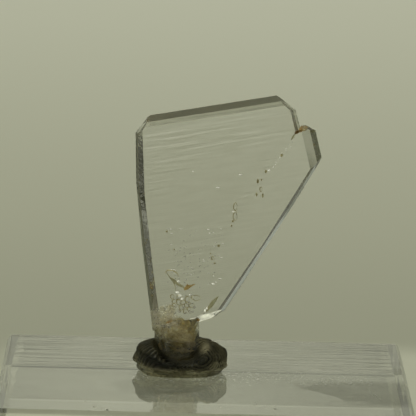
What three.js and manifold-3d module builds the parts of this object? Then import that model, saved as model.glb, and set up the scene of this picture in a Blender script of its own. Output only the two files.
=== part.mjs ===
// A thumbnail-size Japan-law twin of quartz, held by a lump of mounting putty on a clear acrylic block.
//
// Millimetres, +Z up.  The origin is the middle of the block's underside.  The twin is a thin tablet that
// stands in a plane of constant Y and shows its broad faces to -Y (the front) and +Y (the back).
//
// Both individuals follow quartz's own geometry.  Their c axes meet at the Japan-law angle, the broad faces
// are prism faces m, the sides are prism faces that meet in a ridge, and each tip is a chisel of rhombohedral
// faces r and z with a pair of the same faces across each corner.  Growth steps turn or flatten some of them.
import * as THREE from 'three';
import { ConvexGeometry } from 'three/addons/geometries/ConvexGeometry.js';
import { mergeVertices } from 'three/addons/utils/BufferGeometryUtils.js';
import Module from 'manifold-3d';

const wasm = await Module();
wasm.setup();

// ---- display block ------------------------------------------------------------------------------
const BLOCK_SIDE = 31.75;          // the usual 1 1/4 inch square thumbnail base
const BLOCK_HEIGHT = 15.875;       // 5/8 inch
const BLOCK_BEVEL = 0.3;           // narrow polished bevel on every edge

// ---- quartz -------------------------------------------------------------------------------------
const TWIN_ANGLE = 84.55;          // degrees between the two c axes
const FIRST_LEAN = -10.5;          // c axis of the first individual from vertical, + to the right
const SECOND_LEAN = FIRST_LEAN + TWIN_ANGLE;
const RHOMB = 51.79;               // degrees from the c axis to the normal of an r or z face
const PRISM = 90;                  // degrees from the c axis to the normal of an m face
const SIDE_AZIMUTH = 60;           // degrees from the front m face round to the next m face

// ---- tablet: x and z are in the plane of the edge ridges, z above the block ---------------------
const RIDGE_Y = 1.55;              // that plane lies this far behind the middle of the block
const NOTCH = [6.74, 19.13];       // re-entrant corner where the individuals part
const FRONT_DEPTH = 0.34;          // from the ridges forward to the front face, at the notch
const BACK_DEPTH = 0.76;           // from the ridges back to the back face, at the notch
const FRONT_TAPER = 0.4;           // degrees by which each broad face closes in towards the tips
const BACK_TAPER = 1.7;
const TWIN_OVERLAP = 0.01;         // the individuals run this far into each other, so that they join

// Each edge of an individual: a point on its ridge, how far the ridge lies behind the ridge plane, which side
// of the c axis it lies on (0 is the chisel), the kind of face, how far growth steps turn it from the true
// face, how far they roll its back face round towards the back, in degrees, and how strongly its front and
// back faces slant, 1 being the true face and more lying flatter.
const FIRST_EDGES = [
  { at: [0.08, 20.98], ridge: 0.12, side: 0, kind: RHOMB, turn: 0, roll: 0, slant: [0.79, 1.26] },
  { at: [-5.32, 19.4], side: -1, kind: RHOMB, turn: 3.4, roll: 3 },
  { at: [-5.76, 16.71], side: -1, kind: PRISM, turn: 8.3, roll: 7 },
  { at: [-5.42, 12.5], side: -1, kind: PRISM, turn: 3.8, roll: 3 },
  { at: [-4.79, 7.73], side: -1, kind: PRISM, turn: 2.2, roll: 0 },
  { at: [5.85, 21.34], side: 1, kind: RHOMB, turn: 0, roll: 0 },
  { at: [6.72, 20.2], side: 1, kind: PRISM, turn: -5.3, roll: 0 },
];
const SECOND_EDGES = [
  { at: [8.4, 18.23], side: 0, kind: RHOMB, turn: 1.4, roll: 0, slant: [1, 1.12] },
  { at: [7.11, 19.61], side: -1, kind: PRISM, turn: 9.5, roll: 0 },
  { at: [7.79, 19.43], side: -1, kind: RHOMB, turn: 0, roll: 0 },
  { at: [8.54, 16.66], side: 1, kind: RHOMB, turn: -15, roll: 0 },
  { at: [6.59, 13.34], ridge: 0.15, side: 1, kind: RHOMB, turn: -2.2, roll: 0, slant: [1, 1.22] },
  { at: [3.62, 8.3], ridge: 0.4, side: 1, kind: RHOMB, turn: -0.2, roll: 0, slant: [1, 1.69] },
];

// ---- growth steps across the broad faces --------------------------------------------------------
const STEP_COUNT = 8;              // on each broad face of the first individual
const STEP_WIDTH = 0.24;
const STEP_DEPTH = 0.03;
const STEP_FIRST = 2.1;            // distance of the first step below the chisel, along c
const STEP_PITCH = 1.25;
const STEP_DRIFT = 0.37;           // the pitch wanders by this much
const STEP_SECTION = [             // the wedge's corners: up along c, and out from the broad face
  [-STEP_WIDTH / 2, 0.1], [STEP_WIDTH / 2, 0.1], [STEP_WIDTH / 2, 0], [-STEP_WIDTH / 5, -STEP_DEPTH],
];
const STEP_START = -3.9;           // left end, across c from the middle of the chisel
const STEP_MARGIN = 0.6;           // the steps stop this short of the second individual

// ---- broken base --------------------------------------------------------------------------------
const BREAK_AT = [0, 4.42];        // a point of the main fracture
const BREAK_RISE = 18;             // degrees it climbs to the right
const BREAK_TILT = 27;             // degrees it falls from front to back
const LEFT_BREAK_AT = [-4.1, 3.15];  // where the left side ends, beside the root
const LEFT_BREAK_FALL = 14;        // degrees that break falls to the right
const SCALLOPS = [                 // shallow shell-shaped bites out of it
  { at: [0.47, -0.64, 2.54], radius: 2.2 },
  { at: [1.34, -0.1, 3.72], radius: 1.15 },
];

// ---- cloudy root --------------------------------------------------------------------------------
const ROOT_BOTTOM = 0.875;         // underside, above the block
const ROOT_TOP = 4.35;
const ROOT_LEAN = -3;              // its own c axis from vertical, degrees
const ROOT_SIDES = [               // azimuth of a prism face and where it cuts the ridge plane, at mid height
  { azimuth: -120, at: [-3.93, 2.5] },
  { azimuth: -60, at: [-3.93, 2.5] },
  { azimuth: 60, at: [-0.45, 2.5] },
  { azimuth: 120, at: [-0.45, 2.5] },
];
const ROOT_FACES = [               // outward normal of each other face and a point of it
  { normal: [0.05, -1, 0.04], at: [-2.15, -1.3, 2] },
  { normal: [-0.08, 1, 0.1], at: [-2.15, 1.3, 2] },
  { normal: [-0.32, -0.42, 1], at: [-2.15, 0, ROOT_TOP] },
  { normal: [0.3, -0.75, 1], at: [-2.15, -0.3, ROOT_TOP] },
  { normal: [-0.1, 0.8, 1], at: [-2.15, 0.5, ROOT_TOP] },
  { normal: [-1, -0.9, 0.5], at: [-3.93, -0.35, 3.4] },
];

// ---- putty --------------------------------------------------------------------------------------
const PUTTY_X = -1.93;             // middle of the lump
const PUTTY_Y = -0.25;
const PUTTY_HALF_WIDTH = 3.5;
const PUTTY_HALF_DEPTH = 3.45;
const PUTTY_HEIGHT = 2.68;
const PUTTY_FOOT = 0.88;           // the foot's radius against the widest part
const PUTTY_WAIST = 0.36;          // height of the widest part against the whole
const PUTTY_WAIST_SHARE = 0.7;     // and how far down the skin it lies, from 0 at the top to 1 at the foot
const PUTTY_NUB = { size: 0.05, spread: 0.3 };                   // blunt point at the left
const PUTTY_DIP = { depth: 0.97, halfWidth: 1.75, back: 0.2, edge: 0.22 };  // pressed in before the root
const FINGER_RIDGE = { height: 0.075, waves: 26, sway: 2.2, turn: 0.6 };
const POCKET_GAP = 0.25;           // clearance round the root

const SEGMENTS = { round: 72, profile: 22, sphere: 22 };

const radians = THREE.MathUtils.degToRad;

// ---- solids -------------------------------------------------------------------------------------

function toSolid(geometry) {
  const bare = geometry.clone();
  bare.deleteAttribute('normal');
  bare.deleteAttribute('uv');
  const merged = mergeVertices(bare, 1e-5);
  return new wasm.Manifold(new wasm.Mesh({
    numProp: 3,
    vertProperties: new Float32Array(merged.attributes.position.array),
    triVerts: new Uint32Array(merged.index.array),
  }));
}

function toGeometry(solid) {
  const mesh = solid.getMesh();
  const geometry = new THREE.BufferGeometry();
  geometry.setAttribute('position', new THREE.BufferAttribute(mesh.vertProperties, 3));
  geometry.setIndex(new THREE.BufferAttribute(mesh.triVerts, 1));
  geometry.computeVertexNormals();
  return geometry;
}

function meetingPoint(a, b, c) {
  const crossBC = new THREE.Vector3().crossVectors(b.normal, c.normal);
  const determinant = a.normal.dot(crossBC);
  if (Math.abs(determinant) < 1e-5) return null;
  const crossCA = new THREE.Vector3().crossVectors(c.normal, a.normal);
  const crossAB = new THREE.Vector3().crossVectors(a.normal, b.normal);
  return crossBC.multiplyScalar(-a.constant)
    .addScaledVector(crossCA, -b.constant)
    .addScaledVector(crossAB, -c.constant)
    .divideScalar(determinant);
}

// The convex body that lies behind every one of the given planes.
function convexBody(planes) {
  const corners = [];
  const tolerance = 1e-6;
  for (let i = 0; i < planes.length; i++) {
    for (let j = i + 1; j < planes.length; j++) {
      for (let k = j + 1; k < planes.length; k++) {
        const point = meetingPoint(planes[i], planes[j], planes[k]);
        if (!point) continue;
        if (planes.some((plane) => plane.distanceToPoint(point) > tolerance)) continue;
        if (corners.some((corner) => corner.distanceTo(point) < 1e-4)) continue;
        corners.push(point);
      }
    }
  }
  return new ConvexGeometry(corners);
}

function planeThrough(normal, x, y, z) {
  const point = new THREE.Vector3(x, y, z);
  return new THREE.Plane().setFromNormalAndCoplanarPoint(normal.clone().normalize(), point);
}

// ---- quartz faces -------------------------------------------------------------------------------

// Outward normal of a crystal face.  Azimuth runs round the c axis from the front face, + to the right;
// inclination is from the c axis; lean is the c axis from vertical.
function faceNormal(lean, azimuth, inclination) {
  const across = Math.sin(radians(inclination)) * Math.sin(radians(azimuth));
  const along = Math.cos(radians(inclination));
  const forward = Math.sin(radians(inclination)) * Math.cos(radians(azimuth));
  const sine = Math.sin(radians(lean));
  const cosine = Math.cos(radians(lean));
  return new THREE.Vector3(across * cosine + along * sine, -forward, along * cosine - across * sine);
}

function edgePlanes(lean, edge) {
  const front = edge.side * SIDE_AZIMUTH;
  const back = edge.side === 0 ? 180 : edge.side * (180 - SIDE_AZIMUTH + edge.roll);
  const { ridge = 0, slant = [1, 1] } = edge;
  return [front, back].map((azimuth, index) => {
    const normal = faceNormal(lean + edge.turn, azimuth, edge.kind);
    normal.y *= slant[index];
    return planeThrough(normal, edge.at[0], ridge, edge.at[1]);
  });
}

function broadFaces(lean) {
  return [
    planeThrough(faceNormal(lean, 0, PRISM - FRONT_TAPER), NOTCH[0], -FRONT_DEPTH, NOTCH[1]),
    planeThrough(faceNormal(lean, 180, PRISM - BACK_TAPER), NOTCH[0], BACK_DEPTH, NOTCH[1]),
  ];
}

function fracturePlanes() {
  const main = new THREE.Vector3(
    Math.sin(radians(BREAK_RISE)), -Math.sin(radians(BREAK_TILT)), -Math.cos(radians(BREAK_RISE)));
  const left = new THREE.Vector3(-Math.sin(radians(LEFT_BREAK_FALL)), 0, -Math.cos(radians(LEFT_BREAK_FALL)));
  return [
    planeThrough(main, BREAK_AT[0], 0, BREAK_AT[1]),
    planeThrough(left, LEFT_BREAK_AT[0], 0, LEFT_BREAK_AT[1]),
  ];
}

// The plane that the individuals share halves the angle between their c axes.
function compositionPlane(side, overlap) {
  const lean = radians((FIRST_LEAN + SECOND_LEAN) / 2);
  const normal = new THREE.Vector3(Math.cos(lean), 0, -Math.sin(lean)).multiplyScalar(side);
  const plane = planeThrough(normal, NOTCH[0], 0, NOTCH[1]);
  plane.constant -= overlap;
  return plane;
}

function individual(lean, edges, side, overlap) {
  const planes = edges.flatMap((edge) => edgePlanes(lean, edge));
  return toSolid(convexBody([
    ...planes, ...broadFaces(lean), compositionPlane(side, overlap), ...fracturePlanes(),
  ]));
}

// Place of a point of the twin's plane against the middle of the first chisel: across c and down along c.
function belowChisel([x, z]) {
  const chisel = FIRST_EDGES[0].at;
  const lean = radians(FIRST_LEAN);
  const right = x - chisel[0];
  const up = z - chisel[1];
  return {
    across: right * Math.cos(lean) - up * Math.sin(lean),
    down: -right * Math.sin(lean) - up * Math.cos(lean),
  };
}

// One shallow growth step across the first individual: a long wedge cut out of a broad face, square to c.
function growthStep(index, face) {
  const down = STEP_FIRST + STEP_PITCH * index + STEP_DRIFT * Math.sin(2.4 * index + face);
  const notch = belowChisel(NOTCH);
  const seam = notch.across - (down - notch.down) * Math.tan(radians(TWIN_ANGLE / 2));
  const start = STEP_START + 0.5 * Math.sin(5.1 * index + face);
  const end = start + (seam - STEP_MARGIN - start) * (0.5 + 0.4 * Math.cos(3.7 * index + face) ** 2);
  const depth = face < 0 ? FRONT_DEPTH : BACK_DEPTH;
  const taper = face < 0 ? FRONT_TAPER : BACK_TAPER;
  const surface = depth + (down - notch.down) * Math.tan(radians(taper));
  const points = [];
  for (const across of [start, end]) {
    for (const [rise, out] of STEP_SECTION) {
      points.push(new THREE.Vector3(across, face * (surface + out), rise - down));
    }
  }
  const wedge = new ConvexGeometry(points);
  wedge.rotateY(radians(FIRST_LEAN));
  wedge.translate(FIRST_EDGES[0].at[0], 0, FIRST_EDGES[0].at[1]);
  return toSolid(wedge);
}

function scallop({ at, radius }) {
  const ball = new THREE.SphereGeometry(radius, SEGMENTS.sphere, SEGMENTS.sphere / 2);
  ball.translate(...at);
  return toSolid(ball);
}

// The cloudy stub that the twin grew from: a short prism with a broken, sloping top.  A gap lets its walls out.
function rootBody(gap) {
  const sides = ROOT_SIDES.map(({ azimuth, at }) => planeThrough(
    faceNormal(ROOT_LEAN, azimuth, PRISM), at[0], 0, at[1]));
  const faces = ROOT_FACES.map(({ normal, at }) => planeThrough(new THREE.Vector3(...normal), ...at));
  const walls = [...sides, ...faces];
  for (const wall of walls) {
    wall.constant -= gap;
  }
  const underside = planeThrough(new THREE.Vector3(0, 0, -1), 0, 0, ROOT_BOTTOM);
  return toSolid(convexBody([...walls, underside]));
}

function quartzTwin() {
  let twin = individual(FIRST_LEAN, FIRST_EDGES, 1, 0);
  twin = twin.add(individual(SECOND_LEAN, SECOND_EDGES, -1, TWIN_OVERLAP));
  for (const face of [-1, 1]) {
    for (let index = 0; index < STEP_COUNT; index++) {
      twin = twin.subtract(growthStep(index, face));
    }
  }
  for (const bite of SCALLOPS) {
    twin = twin.subtract(scallop(bite));
  }
  return toGeometry(twin.add(rootBody(0)));
}

// ---- putty --------------------------------------------------------------------------------------

// Plan of the lump, as a share of its half width: an uneven oval with a blunt nub at the left.
function puttyReach(angle) {
  const nub = PUTTY_NUB.size * Math.exp(-((Math.abs(angle - Math.PI) / PUTTY_NUB.spread) ** 2));
  const dents = 0.04 * Math.cos(3 * angle + 0.6) + 0.022 * Math.cos(5 * angle - 1.1);
  return 1 + nub + dents;
}

// The curved ridges that fingers left on the lump.
function fingerRidge(angle, share) {
  const wave = FINGER_RIDGE.waves * share + FINGER_RIDGE.sway * Math.sin(angle - FINGER_RIDGE.turn);
  return FINGER_RIDGE.height * Math.sin(wave) * Math.sin(Math.PI * share);
}

// One point of the skin, share 0 at the top and 1 at the foot.
function puttyPoint(angle, share) {
  const waist = PUTTY_WAIST * PUTTY_HEIGHT;
  const below = share > PUTTY_WAIST_SHARE;
  const turn = below ? (share - PUTTY_WAIST_SHARE) / (1 - PUTTY_WAIST_SHARE) : share / PUTTY_WAIST_SHARE;
  const swell = below ? 1 - (1 - PUTTY_FOOT) * turn ** 2 : Math.sin(turn * Math.PI / 2) ** 0.9;
  const ridge = fingerRidge(angle, share);
  const reach = puttyReach(angle) * swell;
  const x = (PUTTY_HALF_WIDTH + ridge) * reach * Math.cos(angle);
  const y = (PUTTY_HALF_DEPTH + ridge) * reach * Math.sin(angle);
  if (below) return new THREE.Vector3(PUTTY_X + x, PUTTY_Y + y, waist * (1 - turn));
  const dome = (PUTTY_HEIGHT - waist) * Math.cos(turn * Math.PI / 2) ** 0.75 + ridge * (1 - turn * turn) / 2;
  const across = Math.exp(-((x / PUTTY_DIP.halfWidth) ** 4));
  const before = 1 / (1 + Math.exp((y - PUTTY_DIP.back) / PUTTY_DIP.edge));
  return new THREE.Vector3(PUTTY_X + x, PUTTY_Y + y, waist + dome * (1 - PUTTY_DIP.depth * across * before));
}

function puttyLump() {
  const points = [puttyPoint(0, 0)];
  for (let ring = 1; ring <= SEGMENTS.profile; ring++) {
    for (let step = 0; step < SEGMENTS.round; step++) {
      points.push(puttyPoint(2 * Math.PI * step / SEGMENTS.round, ring / SEGMENTS.profile));
    }
  }
  points.push(new THREE.Vector3(PUTTY_X, PUTTY_Y, 0));
  const geometry = new THREE.BufferGeometry().setFromPoints(points);
  geometry.setIndex(discFaces(SEGMENTS.round, SEGMENTS.profile));
  return toGeometry(toSolid(geometry).subtract(rootBody(POCKET_GAP)));
}

// Triangles of a closed skin: one top point, rings that run round anticlockwise, one bottom point.
function discFaces(round, rings) {
  const faces = [];
  const at = (ring, step) => 1 + (ring - 1) * round + step % round;
  const bottom = 1 + rings * round;
  for (let step = 0; step < round; step++) {
    faces.push(0, at(1, step), at(1, step + 1));
    faces.push(bottom, at(rings, step + 1), at(rings, step));
    for (let ring = 1; ring < rings; ring++) {
      faces.push(at(ring, step), at(ring + 1, step), at(ring + 1, step + 1));
      faces.push(at(ring, step), at(ring + 1, step + 1), at(ring, step + 1));
    }
  }
  return faces;
}

// ---- block --------------------------------------------------------------------------------------

// A cuboid with a bevel on each edge and a small facet on each corner.
function displayBlock() {
  const half = new THREE.Vector3(BLOCK_SIDE / 2, BLOCK_SIDE / 2, BLOCK_HEIGHT / 2);
  const planes = [];
  const signs = [-1, 0, 1];
  for (const x of signs) {
    for (const y of signs) {
      for (const z of signs) {
        const sides = Math.abs(x) + Math.abs(y) + Math.abs(z);
        if (sides === 0) continue;
        const corner = new THREE.Vector3(x, y, z).multiply(half);
        const normal = new THREE.Vector3(x, y, z);
        const cut = BLOCK_BEVEL * (sides - 1) / sides * (sides === 3 ? 0.85 : 1);
        corner.addScaledVector(normal, -cut);
        planes.push(planeThrough(normal, corner.x, corner.y, corner.z));
      }
    }
  }
  return toGeometry(toSolid(convexBody(planes)));
}

// ---- assembly -----------------------------------------------------------------------------------

function piece(name, geometry, color, roughness) {
  const material = new THREE.MeshStandardMaterial({ color, roughness, metalness: 0, flatShading: true });
  const mesh = new THREE.Mesh(geometry, material);
  mesh.name = name;
  return mesh;
}

const group = new THREE.Group();

const block = piece('display_block', displayBlock(), 0xc9cdb8, 0.05);
block.position.set(0, 0, BLOCK_HEIGHT / 2);
group.add(block);

const specimen = new THREE.Group();
specimen.position.set(0, RIDGE_Y, BLOCK_HEIGHT);
specimen.add(piece('quartz_twin', quartzTwin(), 0xb4b79c, 0.08));
specimen.add(piece('putty_mount', puttyLump(), 0x2a281a, 0.55));
group.add(specimen);

export default group;
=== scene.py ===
"""Looks of a Japan-law quartz twin that stands in putty on a clear acrylic block.

Metres, +Z up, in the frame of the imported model, whose origin is the middle of the block's underside.
"""

from math import atan2, cos, exp, inf, pi, radians, sin

import bmesh
import bpy
import numpy as np
from mathutils import Matrix, Vector, geometry, noise


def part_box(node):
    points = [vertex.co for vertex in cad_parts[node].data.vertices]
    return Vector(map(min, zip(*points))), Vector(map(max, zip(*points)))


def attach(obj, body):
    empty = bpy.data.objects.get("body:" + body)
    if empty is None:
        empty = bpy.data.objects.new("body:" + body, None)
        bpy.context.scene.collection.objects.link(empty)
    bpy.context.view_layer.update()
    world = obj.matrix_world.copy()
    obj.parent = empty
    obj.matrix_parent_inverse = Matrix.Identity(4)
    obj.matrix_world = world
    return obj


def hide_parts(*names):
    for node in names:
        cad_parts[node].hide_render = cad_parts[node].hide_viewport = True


MM = 0.001
WELD = 1e-7  # points closer than this are one

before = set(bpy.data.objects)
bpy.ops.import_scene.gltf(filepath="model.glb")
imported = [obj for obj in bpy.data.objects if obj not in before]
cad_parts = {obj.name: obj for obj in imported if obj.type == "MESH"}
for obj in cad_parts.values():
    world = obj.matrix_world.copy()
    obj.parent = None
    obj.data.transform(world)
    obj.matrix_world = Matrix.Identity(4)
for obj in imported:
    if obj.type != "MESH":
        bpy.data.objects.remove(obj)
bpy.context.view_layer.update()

# ---- the twin, as the model has it: x and z in the plane of its ridges, z above the block
BLOCK_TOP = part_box("display_block")[1].z
BLOCK_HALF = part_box("display_block")[1].x
RIDGE_Y = 1.55 * MM
FIRST_LEAN = radians(-10.5)  # c axis of the large individual from vertical, + to the right
TWIN_ANGLE = radians(84.55)
SEAM_LEAN = FIRST_LEAN + TWIN_ANGLE / 2
C_AXIS = Vector((sin(FIRST_LEAN), 0, cos(FIRST_LEAN)))
ACROSS = Vector((cos(FIRST_LEAN), 0, -sin(FIRST_LEAN)))
SEAM_SIDE = Vector((-cos(SEAM_LEAN), 0, sin(SEAM_LEAN)))  # towards the large individual
UP = Vector((0, 0, 1))
RIGHT = Vector((1, 0, 0))
BACK = Vector((0, 1, 0))


def at(x, z, back=0.0):
    """A place in or on the twin, in millimetres; back is measured from the plane of the ridges."""
    return Vector((x * MM, RIDGE_Y + back * MM, BLOCK_TOP + z * MM))


def outline(back, *corners):
    """Places in or on the twin from their x and z, all equally far back."""
    return [at(x, z, back) for x, z in corners]


def half(across, back, up):
    """Half sizes of an ellipsoid, in millimetres."""
    return Vector((across * MM, back * MM, up * MM))


CHISEL = at(0.08, 20.98)  # middle of the large individual's tip
NOTCH = at(6.74, 19.13)  # where the two individuals part
COARSE_STEP = 0.04 * MM  # no growth step of the model is deeper
SEAM_CLEARANCE = 0.3 * MM  # and none comes closer to the seam
SCALLOPS = [  # shell-shaped bites out of the broken base
    (at(0.47, 2.54, -0.64), 2.2 * MM),
    (at(1.34, 3.72, -0.1), 1.15 * MM),
]
SHELL_WAVE = 0.006 * MM  # height of the waves on them
SHELL_PITCH = (0.05 * MM, 0.11 * MM)
ROOT_BOX = (at(-4.0, 0.7, -9), at(-0.38, 4.12, 9))  # holds the walls of the root
ROOT_CUT = 0.12 * MM  # they are cut this finely
ROOT_LUMP = 0.55 * MM  # width of their lumps
ROOT_RELIEF = 0.05  # in millimetres

# ---- fine growth lines on the large individual
ROW = 0.045 * MM  # spacing of the cuts along c
COLUMN = 0.4 * MM  # and across it
LINE_COUNT = 1300
LINE_WIDTH = (0.035, 0.09)  # this and the lengths below are in millimetres
LINE_HALF_LENGTH = (0.5, 3.8)
LINE_SLOPE = 0.075  # steepness of a line's flanks
LINE_BOW = 0.02  # how far its ends bend away
BORDER_FADE = 0.18  # the lines fade out this close to the border of the face
FRONT_STEPS = [  # tall steps: middle across and down, half length, width, depth
    ((2.13, 2.62), 1.3, 0.26, 0.012),
    ((0.95, 7.0), 1.6, 0.16, 0.012),
]
STEP_SHARPNESS = 6  # how much shorter the upper edge of a step is than its slope

# ---- looks of the quartz; a zone is the middle and the half sizes of an ellipsoid
FRONT_ROUGHNESS = 0.3  # the narrow faces round the tablet are lightly etched
BACK_ROUGHNESS = 0.4
CLEAR_LEFT = (at(-5.0, 11), half(1.2, 3, 9))  # two places that aren't
CLEAR_TIP = (at(8.6, 17.2), half(2.0, 3, 2.8))
EDGE_SHADE_ZONE = (at(6.9, 14.6), half(2.2, 3, 2.9))  # painted shade: narrow faces darker than the rest
ROOT_ZONE = (at(-2.65, 1.2), half(2.45, 4, 2.9))
QUARTZ_IOR = 1.544
QUARTZ_TINT = ((0.75, 0.75, 0.735), 70.0)  # absorption colour and density
VOID_IOR = 0.648  # gas, seen from within the quartz
STREAK_SHADE_COLORS = ((0.945, 0.945, 0.925), (1, 1, 1))  # painted shade along fine streaks, and the clear colour between them
ETCHED_COLOR = (0.97, 0.975, 0.9)
# painted shade on the narrow faces at the right
EDGE_SHADE_COLOR = (0.25, 0.25, 0.2)
ROOT_COLORS = ((0.99, 0.97, 0.78), (0.45, 0.42, 0.21))
ROOT_FOOT_COLOR = (0.22, 0.175, 0.07)
IRON = ((0.45, 0.28, 0.1), (0.25, 0.14, 0.04))
RUST = ((0.8, 0.6, 0.3), (0.62, 0.42, 0.16))
OCHRE = ((0.95, 0.84, 0.58), (0.88, 0.7, 0.4))
OLIVE = ((0.8, 0.78, 0.58), (0.62, 0.58, 0.38))
BRONZE = ((0.76, 0.7, 0.44), (0.52, 0.44, 0.21))
GOLD = ((1.0, 0.93, 0.62), (0.95, 0.83, 0.5))
MILK = ((0.93, 0.915, 0.85), (0.86, 0.84, 0.745))
DUST = ((0.96, 0.95, 0.88), (0.8, 0.79, 0.7))

# ---- block
ACRYLIC_IOR = 1.49
ACRYLIC_TINT = ((0.86, 0.88, 0.76), 6.0)
SAW_ROW = 0.25 * MM  # the waves that cutting left on the back
SAW_COLUMN = 1.0 * MM
SAW_DEPTH = 0.016 * MM
SAW_LENGTH = 30 * MM
SAW_PITCH = 0.8 * MM
DUST_COUNT = 260
DUST_X = (-5.5, 13)  # in millimetres, as all below
DUST_Y = (-1.0, 1.2)  # middle and spread
DUST_HALF = ((0.03, 0.16), (0.02, 0.08), 0.012)
BRIGHT_GRAINS = [  # x, y and radius
    (-8.3, -14.1, 0.09), (-7.3, -15.2, 0.12), (3.8, -11.4, 0.07), (4.6, -12.2, 0.06), (5.3, -13.1, 0.1),
    (-9.0, -12.0, 0.06), (1.2, -13.0, 0.06),
]
SCRAPE = ((12.74, -5.3), (13.05, -6.4), (13.47, -8.2))  # x and y along it
SCRAPE_WIDTH = 0.03

# ---- putty, as the model has it, in millimetres
PUTTY_AT = Vector((-1.93, 1.3, 0))
PUTTY_HALF = (3.5, 3.45)
PUTTY_HEIGHT = 2.68
PUTTY_FOOT = 0.88  # the foot's radius against the widest part
WAIST = 0.36  # height of the widest part against the whole
WAIST_SHARE = 0.7  # how far down the skin that is, from 0 to 1
NUB_SIZE = 0.05  # a blunt point at the left
NUB_SPREAD = 0.3
DENTS = ((3, 0.04, 0.6), (5, 0.022, -1.1))  # waves round the plan, size and start
FINGER_HEIGHT = 0.075
FINGER_WAVES = 26
FINGER_SWAY = 2.2
FINGER_TURN = 0.6
DIP_DEPTH = 0.97  # pressed in before the root
DIP_HALF_WIDTH = 1.75
DIP_BACK = 0.2
DIP_EDGE = 0.22
PUTTY_RINGS = 190
PUTTY_STEPS = 420

# ---- fine marks on the putty, in millimetres
MARK_PITCH = 0.27
MARK_HEIGHT = 0.11
MARK_SWAY = 2.5
RIGHT_WHORL = Vector((-0.2, -1.9, 2.1))
LEFT_WHORL = Vector((-2.9, -1.2, 0.2))
WHORLS_MEET = -1.9  # x where one whorl gives way to the other
FOLD_HEIGHT = 0.16  # folds take the place of the marks near the foot
FOLD_SCALE = (1.6, 1.6, 0.35)
FOLD_TOP = 1.0
FOLD_FADE = 0.5
WANDER_HEIGHT = 0.06
WANDER_SCALE = 1.1
PATCH_SCALE = 1.6
MARK_FOOT = 0.3  # all marks fade out this close to the block
GROOVE = [Vector(spot) for spot in ((0.3, 2.5), (0.72, 2.1), (0.98, 1.6), (1.1, 1.15))]  # x and z
GROOVE_DEPTH = 0.16
GROOVE_WIDTH = 0.13
GROOVE_BACK = PUTTY_AT.y + 1  # there is none behind this y

# ---- looks of the putty
PUTTY_COLORS = ((0.024, 0.023, 0.01), (0.07, 0.064, 0.031))
# painted light: the right shoulder and the lip paler, the lip in lit and shaded fold-like streaks
SHOULDER_LIGHT_COLORS = ((0.22, 0.2, 0.12), (0.38, 0.35, 0.21))
LIP_LIGHT_COLORS = ((0.17, 0.155, 0.085), (0.46, 0.43, 0.27))
# painted shade: a dark belt halfway up the front
BELT_SHADE_COLOR = (0.006, 0.007, 0.003)
SHOULDER_LIGHT_ZONE = (at(-0.5, 2.3, -1.9), half(0.9, 2.2, 0.6))
BELT_SHADE_ZONE = (at(-2.4, 1.45, -3.2), half(2.9, 3, 0.8))
HOLLOW_SHADE_SHARE = 0.12  # how dark the painted shade in the hollows is, and how bright the painted highlight on the crests
CREST_HIGHLIGHT_SHARE = 1.6
PUTTY_ROUGHNESS = 0.36

# ---- view
CAMERA_DISTANCE = 0.3696
CAMERA_ELEVATION = 8.66  # in degrees
CAMERA_AZIMUTH = 0.44
CAMERA_ROLL = radians(1.57)
CAMERA_AIM = Vector((-0.06 * MM, 0, BLOCK_TOP + 13.17 * MM))
CAMERA_LENS = 412.3  # on a 36 mm sensor
BOUNCES = 40

# ---- light: directions are azimuth and elevation in degrees
PALE = (0.985, 1.0, 0.785)  # the studio's warm grey-green tint
# a soft round patch of sky: its middle, where it starts and ends to fade, its level all round and within
PATCH = ((-3, 32), (14, 34), 0.135, 0.55)  # behind the part
SKYLIGHT = ((-13, 35), (6, 15), 0, 0.45)  # higher up, which the broken base catches
WINDOW = ((-50, 17), (5, 11), 0, 1)  # small and cool, which the long left edge catches
WINDOW_LEVEL = 0.33
WINDOW_COLOR = (0.92, 1.0, 0.9)
BACK_LIGHT = (0, 0.54, 0.6)
BACK_POWER = 2.17
BACK_SIZE = 0.4
POOL_HEIGHT = 0.5
POOLS = [  # name, x and y of the middle, radius, power, softness of the rim
    ("pool", (0.016, 0.062), 0.04, 1.8, 0.15),
    ("left_pool", (-0.03, 0.066), 0.036, 0.9, 0.5),
    ("side_pool", (-0.057, 0.099), 0.014, 2.5, 0.5),
    ("left_gleam", (-0.017, 0.013), 0.01, 0.8, 0.8),
    ("right_gleam", (0.012, 0.015), 0.006, 1.5, 0.8),
]
PUTTY_LIGHT = (0.03, -0.14, 0.33)
PUTTY_LIGHT_AIM = (-0.0019, 0.001, BLOCK_TOP + 0.001)
PUTTY_POWER = 3.0
PUTTY_SPREAD = radians(1.7)
FLAGS = [  # name, two opposite corners, and how pale it is
    ("right_flag", (0.06, 0.01, 0.004), (0.062, 0.12, 0.055), 0.3),
    ("left_flag", (-0.052, -0.045, 0), (-0.05, 0.055, 0.02), 0.55),
]
FAR_CARD = ((5, 297), (160, 316))  # x and z of its corners in millimetres
FAR_CARD_BACK = 1500
FAR_SHADE = (Vector((100, FAR_CARD_BACK, 304.3)) * MM, Vector((66, 10, 4.6)) * MM)
FAR_SHADE_LEVEL = (0.215, 0.413)  # inside and outside it
FAR_DISC = (Vector((15, FAR_CARD_BACK, 312.4)) * MM, Vector((59, 10, 11.9)) * MM)
FAR_DISC_LEVEL = 0.42  # pale, and sharp where it overlaps the shade

# ---- floor
FLOOR_RADIUS = 4.0
FLOOR_DROP = 0.02 * MM  # it lies this far below the block
FLOOR_LEVEL = 0.66  # how pale it is
FOOT_SHADOW_Y = BLOCK_HALF - 0.25 * MM  # painted shadow: a dark line under the back edge
FOOT_SHADOW_LEVEL = 0.1
# painted shadow: a soft dark band on the floor under the back of the block
BAND_SHADE = (Vector((-3 * MM, 13.8 * MM, 0)), Vector((12 * MM, 0.9 * MM, 1)))
BAND_SHADE_COLOR = (0.3, 0.31, 0.24)
NEAR_SHADE = 0.045  # the near floor is darker by this share


# ---- materials

def rgba(color):
    """A colour with its alpha, or a socket as it is."""
    return (*color, 1) if isinstance(color, tuple) else color


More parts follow.
